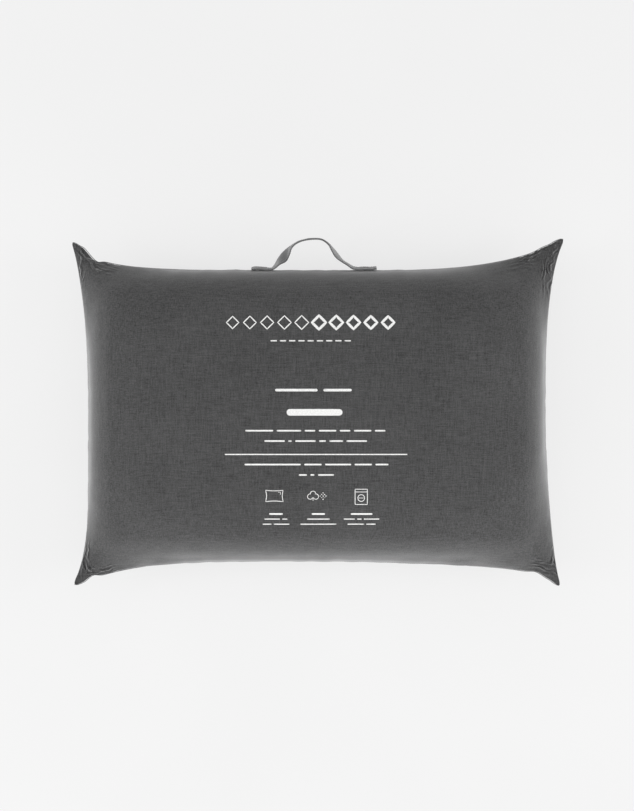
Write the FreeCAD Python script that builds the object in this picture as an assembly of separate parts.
import FreeCAD, Part

import math
import os

# Bed pillow: a foam block in a knitted liner, inside a removable woven cover with a zip
# along one long edge and a carry handle sewn to the other. All lengths in millimetres.
#
# Frame: the pillow lies on its back. X runs along the long edges, +Y points to the edge
# with the handle, +Z is up through the printed front. The origin is the centre of the
# flat patch that the back rests on.

Vector = FreeCAD.Vector

# ---- driving dimensions: the cover ----
COVER_LENGTH = 616.0  # between the middles of the two short edges
COVER_WIDTH = 393.0  # between the middles of the two long edges
SEAM_HEIGHT = 52.0  # the seam's plane above the resting surface
FRONT_RISE = 55.0  # from the seam up to the front face, near its rim
FRONT_CROWN = 5.0  # extra height in the middle of the front
BACK_CROWN = 1.2  # how far the back would bulge if it weren't resting
REST_FLAT = 0.4  # depth of that bulge that the resting surface presses flat
EDGE_ROUND = 50.0  # width of the rounded shoulder all round
CLOTH = 1.2  # the cover's fabric

# the seam line bows out towards the corners and ends in four flat ears
BOW_X, BOW_Y = 9.0, 13.0
EAR_X, EAR_Y = 11.0, 22.0
EAR_POWER = 14  # a higher power makes a narrower ear
RIM_POWER = 10  # how closely the bow and the ears keep to the rim
SEAM_GAP = 0.3  # from the seam's plane to each panel's edge, filled by the seam thread

# ---- driving dimensions: the liner and the foam ----
LINER = 1.0
GAP = 0.6  # between one layer and the next
ZIP_ROOM = 9.6  # from the zip edge's outer face to the liner
FOAM_CORNER = 62.0  # plan radius of the block's corners

# ---- driving dimensions: the zip, in the seam of the -Y edge ----
SLOT_HALF_LENGTH = 215.0
SLOT_HALF_HEIGHT = 5.0
ZIP_HALF_LENGTH = 205.0
TAPE_DEPTH = 6.5  # the tape's outer face below the cover's outer face
TAPE_THICK = 0.6
TAPE_WIDTH = 12.0
TAPE_EDGE = 0.95  # from the middle of the zip to the edge of each tape
COIL_EDGE = 0.75  # from the middle of the zip to each coil: the slider's post fits between
COIL_WIDTH = 2.1
COIL_THICK = 2.0
THREAD = 0.5
SLIDER_X = 186.0  # the slider's centre when the zip is closed
SLIDER_LENGTH = 11.0
SLIDER_WIDTH = 8.4
SLIDER_PLATE = 1.3
SLIDER_CLEAR = 0.4
PULL_LENGTH = 22.0
PULL_WIDTH = 6.0
PULL_THICK = 1.2
STOP_LENGTH = 3.0
STOP_GAP = 0.5  # from the slider to a stop, at either end of its travel

# ---- driving dimensions: the handle, on the +Y edge ----
STRAP_WIDTH = 20.0
STRAP_THICK = 2.4
STRAP_ABOVE_SEAM = 6.0  # the strap's middle sits a little forward of the seam
TAB_LEFT = (-87.0, -62.0)  # the sewn ends of the strap along X
TAB_RIGHT = (49.0, 80.0)
TAB_STANDOFF = 2.6  # the tabs' middle plane above the edge's waist
LOOP_TOP = 41.0  # the loop's middle plane above the edge's waist
LOOP_APEX_X = -6.0
FLEX_HEIGHT = 12.0  # the legs bend here, above the edge's waist
NECK = 0.5  # half width of each leg at its flex line
NECK_GAP = 1.0  # from the flex line to each side's neck

HALF_LENGTH = COVER_LENGTH / 2
HALF_WIDTH = COVER_WIDTH / 2
BACK_RISE = SEAM_HEIGHT - BACK_CROWN + REST_FLAT
ZIP_FACE = -HALF_WIDTH
HANDLE_FACE = HALF_WIDTH
STRAP_Z = SEAM_HEIGHT + STRAP_ABOVE_SEAM
FAR = 1000.0


# ---- helpers ----
def box(x, y, z):
    """A box from three (low, high) pairs."""
    size = [pair[1] - pair[0] for pair in (x, y, z)]
    return Part.makeBox(*size, Vector(x[0], y[0], z[0]))


def solid_of(faces):
    """One closed solid from faces that share their edges."""
    shell = Part.makeShell(faces)
    shell.sewShape()
    solid = Part.makeSolid(shell)
    if solid.Volume < 0:
        solid.reverse()
    return solid


def only_solid(shape):
    """The one solid that a boolean operation leaves."""
    solids = sorted(shape.Solids, key=lambda solid: solid.Volume, reverse=True)
    return solids[0]


def prism(outline, direction):
    """A prism from a list of corner points, along a direction."""
    wire = Part.makePolygon(outline + outline[:1])
    return Part.Face(wire).extrude(direction)


# ---- the cover's shape ----
def shoulder(share, rounded):
    """Height of the section, from 1 inside to 0 at the rim; the outer part is rounded."""
    inside = 1.0 - rounded
    if share <= inside:
        return 1.0
    if share > 1.0 - 1e-9:
        return 0.0
    return math.sqrt(1.0 - ((share - inside) / rounded) ** 2)


def stations(half, rounded, flat_steps=6, round_steps=7):
    """Shares from -1 to 1 across the cover, closest together over the shoulders."""
    inside = 1.0 - rounded / half
    flat = [inside * i / flat_steps for i in range(flat_steps)]
    turn = [
        inside + (1.0 - inside) * math.sin(math.pi / 2 * i / round_steps)
        for i in range(round_steps + 1)
    ]
    positive = flat + turn
    return [-share for share in reversed(positive[1:])] + positive


def cover_grid(inset, rise, crown, ear_loss):
    """Rows of points on one half of the cover, with heights measured from its own rim."""
    half_x, half_y = HALF_LENGTH - inset, HALF_WIDTH - inset
    rounded = EDGE_ROUND - inset
    rows = []
    for u in stations(half_x, rounded):
        row = []
        for v in stations(half_y, rounded):
            across, along = abs(u), abs(v)
            bow_x = BOW_X * along**2 + (EAR_X - ear_loss) * along**EAR_POWER
            bow_y = BOW_Y * across**2 + (EAR_Y - ear_loss) * across**EAR_POWER
            x = half_x * u + math.copysign(across**RIM_POWER * bow_x, u)
            y = half_y * v + math.copysign(along**RIM_POWER * bow_y, v)
            dome = (1 - across**2) * (1 - along**2)
            pinch = 1 - 0.8 * (across * along) ** 12
            section = shoulder(across, rounded / half_x) * shoulder(along, rounded / half_y)
            row.append(Vector(x, y, rise * section * pinch + crown * dome))
        rows.append(row)
    return rows


def cover_half(inset, rise, crown, ear_loss, side):
    """The space under one panel: side is 1 for the front and -1 for the back."""
    grid = cover_grid(inset, rise, crown, ear_loss)
    for row in grid:
        for point in row:
            point.z *= side
    surface = Part.BSplineSurface()
    surface.interpolate(grid)
    face = surface.toShape()
    outline = [edge.Curve.toShape(*edge.ParameterRange) for edge in face.OuterWire.Edges]
    half = solid_of([face, Part.Face(Part.Wire(outline))])
    half.translate(Vector(0, 0, SEAM_HEIGHT + side * SEAM_GAP))
    return half


def zip_welt(side):
    """The panel's edge turned in along the zip, down to the tape."""
    low = SLOT_HALF_HEIGHT
    high = SLOT_HALF_HEIGHT + CLOTH
    z = sorted((SEAM_HEIGHT + side * low, SEAM_HEIGHT + side * high))
    depth = (ZIP_FACE - 20.0, ZIP_FACE + TAPE_DEPTH)
    return box((-SLOT_HALF_LENGTH, SLOT_HALF_LENGTH), depth, z)


def cover_panel(side):
    """The front or the back panel: a thin shell with ears and a turned-in zip edge."""
    rise, crown = (FRONT_RISE, FRONT_CROWN) if side > 0 else (BACK_RISE, BACK_CROWN)
    rise -= SEAM_GAP
    outer = cover_half(0.0, rise, crown, 0.0, side)
    inner = cover_half(CLOTH, rise - CLOTH, crown, 5.0, side)
    panel = outer.cut(inner)
    panel = panel.fuse(zip_welt(side).common(outer))
    slot_z = (SEAM_HEIGHT - SLOT_HALF_HEIGHT, SEAM_HEIGHT + SLOT_HALF_HEIGHT)
    slot_y = (ZIP_FACE - 20.0, ZIP_FACE + TAPE_DEPTH + 4.0)
    panel = panel.cut(box((-SLOT_HALF_LENGTH, SLOT_HALF_LENGTH), slot_y, slot_z))
    if side < 0:
        panel = panel.cut(box((-FAR, FAR), (-FAR, FAR), (-FAR, 0.0)))
    return only_solid(panel)


def seam_ring():
    """The thread that joins the panels' edges, open along the zip."""
    rims = [
        min(cover_half(inset, FRONT_RISE, 0.0, ear_loss, 1).Faces, key=lambda face: face.CenterOfMass.z)
        for inset, ear_loss in ((0.2, 0.4), (1.0, 4.0))
    ]
    thread = rims[0].cut(rims[1]).extrude(Vector(0, 0, -2 * SEAM_GAP))
    half_gap = SLOT_HALF_LENGTH + 0.5
    zip_y = (ZIP_FACE - 20.0, ZIP_FACE + 20.0)
    around = (SEAM_HEIGHT - 5.0, SEAM_HEIGHT + 5.0)
    return only_solid(thread.cut(box((-half_gap, half_gap), zip_y, around)))


# ---- the foam block and its liner ----
def rounded_rectangle(half_x, half_y, radius, centre_y, z):
    """A wire of four lines and four arcs."""
    edges = []
    turn = radius * math.sqrt(0.5)
    corners = [(1, 1), (-1, 1), (-1, -1), (1, -1)]
    for i, (sx, sy) in enumerate(corners):
        cx, cy = sx * (half_x - radius), centre_y + sy * (half_y - radius)
        starts = Vector(cx + sx * radius, cy, z), Vector(cx, cy + sy * radius, z)
        first, last = starts if sx * sy > 0 else (starts[1], starts[0])
        middle = Vector(cx + sx * turn, cy + sy * turn, z)
        edges.append(Part.Arc(first, middle, last).toShape())
        nx, ny = corners[(i + 1) % 4]
        tx, ty = nx * (half_x - radius), centre_y + ny * (half_y - radius)
        ends = Vector(tx + nx * radius, ty, z), Vector(tx, ty + ny * radius, z)
        following = ends[0] if nx * ny > 0 else ends[1]
        edges.append(Part.LineSegment(last, following).toShape())
    return Part.Wire(edges)


def block(inset):
    """A crowned block with rounded edges, lofted through level sections."""
    half_x = HALF_LENGTH - inset
    low_y = ZIP_FACE + ZIP_ROOM + inset - (CLOTH + GAP)
    high_y = HALF_WIDTH - inset
    half_y, centre_y = (high_y - low_y) / 2, (high_y + low_y) / 2
    up, down = FRONT_RISE - inset, BACK_RISE - inset
    rounded = EDGE_ROUND - inset
    sections = []
    for degrees in range(-80, 81, 10):
        angle = math.radians(degrees)
        pull_in = rounded * (1 - math.cos(angle))
        rise = (up if degrees > 0 else down) * math.sin(angle)
        radius = FOAM_CORNER - 0.6 * pull_in
        sections.append((half_x - pull_in, half_y - pull_in, radius, rise))
    flat_x, flat_y = half_x - rounded, half_y - rounded
    sections.insert(0, (0.8 * flat_x, 0.7 * flat_y, 30.0, -down))
    sections.append((0.8 * flat_x, 0.7 * flat_y, 30.0, up + 0.2 * FRONT_CROWN))
    sections.append((0.4 * flat_x, 0.4 * flat_y, 20.0, up + 0.6 * FRONT_CROWN))
    wires = [
        rounded_rectangle(x, y, radius, centre_y, SEAM_HEIGHT + rise)
        for x, y, radius, rise in sections
    ]
    return Part.makeLoft(wires, True, True)


def liner_half(side):
    """The knitted liner round the foam, split at its own seam."""
    outer = block(CLOTH + GAP)
    inner = block(CLOTH + GAP + LINER)
    shell = outer.cut(inner)
    away = (
        (-FAR, SEAM_HEIGHT + SEAM_GAP) if side > 0 else (SEAM_HEIGHT - SEAM_GAP, FAR)
    )
    return only_solid(shell.cut(box((-FAR, FAR), (-FAR, FAR), away)))


def liner_seam():
    """The thread ring between the liner's halves."""
    ring = block(CLOTH + GAP + 0.1).cut(block(CLOTH + GAP + LINER - 0.1))
    level = (SEAM_HEIGHT - SEAM_GAP, SEAM_HEIGHT + SEAM_GAP)
    return only_solid(ring.common(box((-FAR, FAR), (-FAR, FAR), level)))


# ---- the zip ----
def zip_level(low, high, side=1):
    """A (low, high) pair of heights, measured from the zip's middle line."""
    return tuple(sorted((SEAM_HEIGHT + side * low, SEAM_HEIGHT + side * high)))


def zip_depth(outer, inner):
    """A (low, high) pair along Y, measured in from the zip edge's outer face."""
    return (ZIP_FACE + outer, ZIP_FACE + inner)


def zip_tape(side):
    return box(
        (-ZIP_HALF_LENGTH, ZIP_HALF_LENGTH),
        zip_depth(TAPE_DEPTH, TAPE_DEPTH + TAPE_THICK),
        zip_level(TAPE_EDGE, TAPE_EDGE + TAPE_WIDTH, side),
    )


def zip_coil(side):
    """One row of coil: a closed bar with a rounded outer edge."""
    coil = box(
        (-ZIP_HALF_LENGTH + 6.0, SLIDER_X + SLIDER_LENGTH / 2),
        zip_depth(TAPE_DEPTH - COIL_THICK, TAPE_DEPTH),
        zip_level(COIL_EDGE, COIL_EDGE + COIL_WIDTH, side),
    )
    outer_face = ZIP_FACE + TAPE_DEPTH - COIL_THICK
    edges = [
        edge
        for edge in coil.Edges
        if edge.BoundBox.XLength > 1.0 and edge.BoundBox.YMax < outer_face + 0.01
    ]
    return coil.makeFillet(0.8, edges)


def zip_bottom_stop():
    """The crimped clip at the end where the zip opens to."""
    start = -ZIP_HALF_LENGTH + 2.5
    return box(
        (start, start + STOP_LENGTH),
        zip_depth(TAPE_DEPTH - COIL_THICK, TAPE_DEPTH),
        zip_level(-COIL_EDGE - COIL_WIDTH, COIL_EDGE + COIL_WIDTH),
    )


def zip_top_stop(side):
    """One of the two small clips at the closed end."""
    start = SLIDER_X + SLIDER_LENGTH / 2 + STOP_GAP
    return box(
        (start, start + STOP_LENGTH),
        zip_depth(TAPE_DEPTH - COIL_THICK, TAPE_DEPTH),
        zip_level(COIL_EDGE, COIL_EDGE + COIL_WIDTH, side),
    )


def zip_stitch(side):
    """The line of thread that holds a tape to its panel, behind the turned-in edge."""
    return box(
        (-ZIP_HALF_LENGTH, ZIP_HALF_LENGTH),
        zip_depth(TAPE_DEPTH - THREAD, TAPE_DEPTH),
        zip_level(SLOT_HALF_HEIGHT - 0.2 - THREAD, SLOT_HALF_HEIGHT - 0.2, side),
    )


def slider_plate_outline(length, width, nose):
    """The plate's outline in plan: wide at the closed end, tapering to its nose."""
    half, side, tip = length / 2, width / 2, nose / 2
    return [(-half, -tip), (0.0, -side), (half, -side), (half, side), (0.0, side), (-half, tip)]


def slider_plate(outer, inner):
    """A plate of the slider between two depths."""
    outline = slider_plate_outline(SLIDER_LENGTH, SLIDER_WIDTH, SLIDER_WIDTH - 2.2)
    low, high = zip_depth(outer, inner)
    corners = [Vector(SLIDER_X + x, low, SEAM_HEIGHT + z) for x, z in outline]
    plate = prism(corners, Vector(0, high - low, 0))
    uprights = [edge for edge in plate.Edges if edge.BoundBox.YLength > 0.5]
    return plate.makeFillet(0.9, uprights)


def zip_slider_body():
    """Two plates joined by the post that parts the coils, with guides down the sides."""
    coil_top = TAPE_DEPTH - COIL_THICK - SLIDER_CLEAR
    tape_back = TAPE_DEPTH + TAPE_THICK + SLIDER_CLEAR
    top = slider_plate(coil_top - SLIDER_PLATE, coil_top)
    bottom = slider_plate(tape_back, tape_back + SLIDER_PLATE)
    half = SLIDER_LENGTH / 2
    post_x = (SLIDER_X + half - 4.5, SLIDER_X + half - 1.5)
    post = box(post_x, zip_depth(coil_top - 0.1, tape_back + 0.1), zip_level(-0.6, 0.6))
    body = top.fuse([bottom, post])
    for side in (1, -1):
        guide = box(
            (SLIDER_X - 3.2, SLIDER_X + half - 0.9),
            zip_depth(coil_top - 0.1, TAPE_DEPTH - SLIDER_CLEAR),
            zip_level(SLIDER_WIDTH / 2 - 1.0, SLIDER_WIDTH / 2 - 0.3, side),
        )
        body = body.fuse(guide)
    return only_solid(body.removeSplitter())


def zip_slider_crown():
    """The small bridge on the slider that carries the pull."""
    base = TAPE_DEPTH - COIL_THICK - SLIDER_CLEAR - SLIDER_PLATE
    low, high = zip_depth(base - 2.4, base)
    y_mid = ZIP_FACE + base
    arch = prism(
        [
            Vector(SLIDER_X - 3.6, y_mid, SEAM_HEIGHT - 0.9),
            Vector(SLIDER_X - 2.4, low, SEAM_HEIGHT - 0.9),
            Vector(SLIDER_X + 2.4, low, SEAM_HEIGHT - 0.9),
            Vector(SLIDER_X + 3.6, y_mid, SEAM_HEIGHT - 0.9),
        ],
        Vector(0, 0, 1.8),
    )
    window = box((SLIDER_X - 1.7, SLIDER_X + 1.7), (low + 0.7, high + 1.0), zip_level(-2, 2))
    return only_solid(arch.cut(window).fuse(crown_feet(y_mid)).removeSplitter())


def crown_feet(face_y):
    """The two feet of the bridge, where it is crimped to the plate."""
    feet = [
        box(
            tuple(sorted((SLIDER_X + side * 1.7, SLIDER_X + side * 3.6))),
            (face_y - 0.6, face_y),
            zip_level(-1.4, 1.4),
        )
        for side in (1, -1)
    ]
    return feet


def zip_pull():
    """The pull tab, lying along the closed coils, with an eye round the bridge's bar."""
    base = TAPE_DEPTH - COIL_THICK - SLIDER_CLEAR - SLIDER_PLATE
    middle = ZIP_FACE + base - 0.85
    low, high = middle - PULL_THICK / 2, middle + PULL_THICK / 2
    half = PULL_WIDTH / 2
    start, end = SLIDER_X + 1.2, SLIDER_X - PULL_LENGTH
    tab = box((end, start), (low, high), zip_level(-half, half))
    tab = tab.makeFillet(1.6, [edge for edge in tab.Edges if edge.BoundBox.YLength > 0.5])
    eye = box((SLIDER_X - 4.6, SLIDER_X + 0.5), (low - 1, high + 1), zip_level(-1.5, 1.5))
    grip = box((end + 3.0, end + 9.0), (low - 1, high + 1), zip_level(-1.4, 1.4))
    return only_solid(tab.cut(eye).cut(grip))


# ---- the handle ----
def strap_face(points):
    """The strap's edge, seen along Z, from the middle line's points as a smooth band."""
    curve = Part.BSplineCurve()
    curve.interpolate([Vector(x, HANDLE_FACE + rise, 0) for x, rise in points])
    steps = 48
    first, last = curve.FirstParameter, curve.LastParameter
    sides = {1: [], -1: []}
    for i in range(steps + 1):
        at = first + (last - first) * i / steps
        place, along = curve.value(at), curve.tangent(at)[0]
        across = Vector(-along.y, along.x, 0)
        for side, found in sides.items():
            found.append(place + across * (side * STRAP_THICK / 2))
    upper, lower = Part.BSplineCurve(), Part.BSplineCurve()
    upper.interpolate(sides[1])
    lower.interpolate(sides[-1])
    ends = [
        Part.LineSegment(sides[1][k], sides[-1][k]).toShape() for k in (0, -1)
    ]
    return Part.Face(Part.Wire([upper.toShape(), ends[1], lower.toShape(), ends[0]]))


def strap_solid(points):
    band = strap_face(points).extrude(Vector(0, 0, STRAP_WIDTH))
    band.translate(Vector(0, 0, STRAP_Z - STRAP_WIDTH / 2))
    return band


def hourglass(above):
    """The space that the strap keeps on one side of its flex line: it narrows to a neck,
    so that the legs can bend there without running into each other."""
    way = 1 if above else -1
    flex = HANDLE_FACE + FLEX_HEIGHT
    half = STRAP_WIDTH / 2 + 1.0
    neck, shoulder_y = flex + way * NECK_GAP, flex + way * (NECK_GAP + half - NECK)
    far = flex + way * 60.0
    corners = [
        (neck, -NECK), (shoulder_y, -half), (far, -half),
        (far, half), (shoulder_y, half), (neck, NECK),
    ]
    outline = [Vector(-150, y, STRAP_Z + z) for y, z in corners]
    return prism(outline, Vector(300, 0, 0))


def loop_points():
    """The strap's middle line from the left tab over the loop to the right tab."""
    return [
        (TAB_LEFT[1] - 6.0, TAB_STANDOFF),
        (TAB_LEFT[1] + 1.0, TAB_STANDOFF + 1.6),
        (-52.5, FLEX_HEIGHT),
        (-40.0, 25.5),
        (-26.0, 36.0),
        (LOOP_APEX_X, LOOP_TOP),
        (12.0, 36.5),
        (26.0, 25.0),
        (37.5, FLEX_HEIGHT),
        (TAB_RIGHT[0] - 3.0, TAB_STANDOFF + 1.6),
        (TAB_RIGHT[0] + 4.0, TAB_STANDOFF),
    ]


def handle_loop():
    return only_solid(strap_solid(loop_points()).common(hourglass(True)))


def handle_tab(span, side):
    """A sewn end of the strap, with the first part of the leg up to the flex line."""
    length_x = (span[0], span[1] - 6.0) if side < 0 else (span[0] + 4.0, span[1])
    low = HANDLE_FACE + TAB_STANDOFF - STRAP_THICK / 2
    foot = box(
        length_x,
        (low, low + STRAP_THICK),
        (STRAP_Z - STRAP_WIDTH / 2, STRAP_Z + STRAP_WIDTH / 2),
    )
    half_x = (-FAR, 0.0) if side < 0 else (0.0, FAR)
    leg = strap_solid(loop_points()).common(hourglass(False))
    leg = leg.common(box(half_x, (-FAR, FAR), (-FAR, FAR)))
    return only_solid(foot.fuse(leg).removeSplitter())


def handle_stitch(span, side):
    """The box of thread with a cross in it that holds a tab to the cover."""
    inner = 8.0
    x = (span[0] + 2.5, span[1] - inner) if side < 0 else (span[0] + inner, span[1] - 2.5)
    z = (STRAP_Z - STRAP_WIDTH / 2 + 3.0, STRAP_Z + STRAP_WIDTH / 2 - 3.0)
    top = HANDLE_FACE + TAB_STANDOFF + STRAP_THICK / 2
    y = (top, top + THREAD)
    frame = box(x, y, z).cut(
        box(
            (x[0] + THREAD, x[1] - THREAD),
            (top - 1, top + 2),
            (z[0] + THREAD, z[1] - THREAD),
        )
    )
    dx, dz = x[1] - x[0] - THREAD, z[1] - z[0] - THREAD
    centre = Vector((x[0] + x[1]) / 2, top, STRAP_Z)
    for way in (1, -1):
        bar = box(
            (-math.hypot(dx, dz) / 2, math.hypot(dx, dz) / 2), (0, THREAD), (-THREAD / 2, THREAD / 2)
        )
        bar.rotate(Vector(0, 0, 0), Vector(0, 1, 0), way * math.degrees(math.atan2(dz, dx)))
        bar.translate(centre)
        frame = frame.fuse(bar)
    return only_solid(frame.removeSplitter())


# ---- write the parts ----
def parts():
    yield "foam_core", block(CLOTH + 2 * GAP + LINER)
    yield "liner_front", liner_half(1)
    yield "liner_back", liner_half(-1)
    yield "liner_seam_thread", liner_seam()
    yield "cover_front", cover_panel(1)
    yield "cover_back", cover_panel(-1)
    yield "cover_seam_thread", seam_ring()
    for name, side in (("front", 1), ("back", -1)):
        yield f"zip_tape_{name}", zip_tape(side)
        yield f"zip_coil_{name}", zip_coil(side)
        yield f"zip_top_stop_{name}", zip_top_stop(side)
        yield f"zip_stitch_{name}", zip_stitch(side)
    yield "zip_bottom_stop", zip_bottom_stop()
    yield "zip_slider_body", zip_slider_body()
    yield "zip_slider_crown", zip_slider_crown()
    yield "zip_pull", zip_pull()
    yield "handle_loop", handle_loop()
    for name, span, side in (("left", TAB_LEFT, -1), ("right", TAB_RIGHT, 1)):
        yield f"handle_tab_{name}", handle_tab(span, side)
        yield f"handle_stitch_{name}", handle_stitch(span, side)


os.makedirs("parts", exist_ok=True)
for node, shape in parts():
    shape.exportStep(f"parts/{node}.step")
    print(f"{node}: valid {shape.isValid()}, {len(shape.Solids)} solid, {shape.Volume:.0f} mm3")
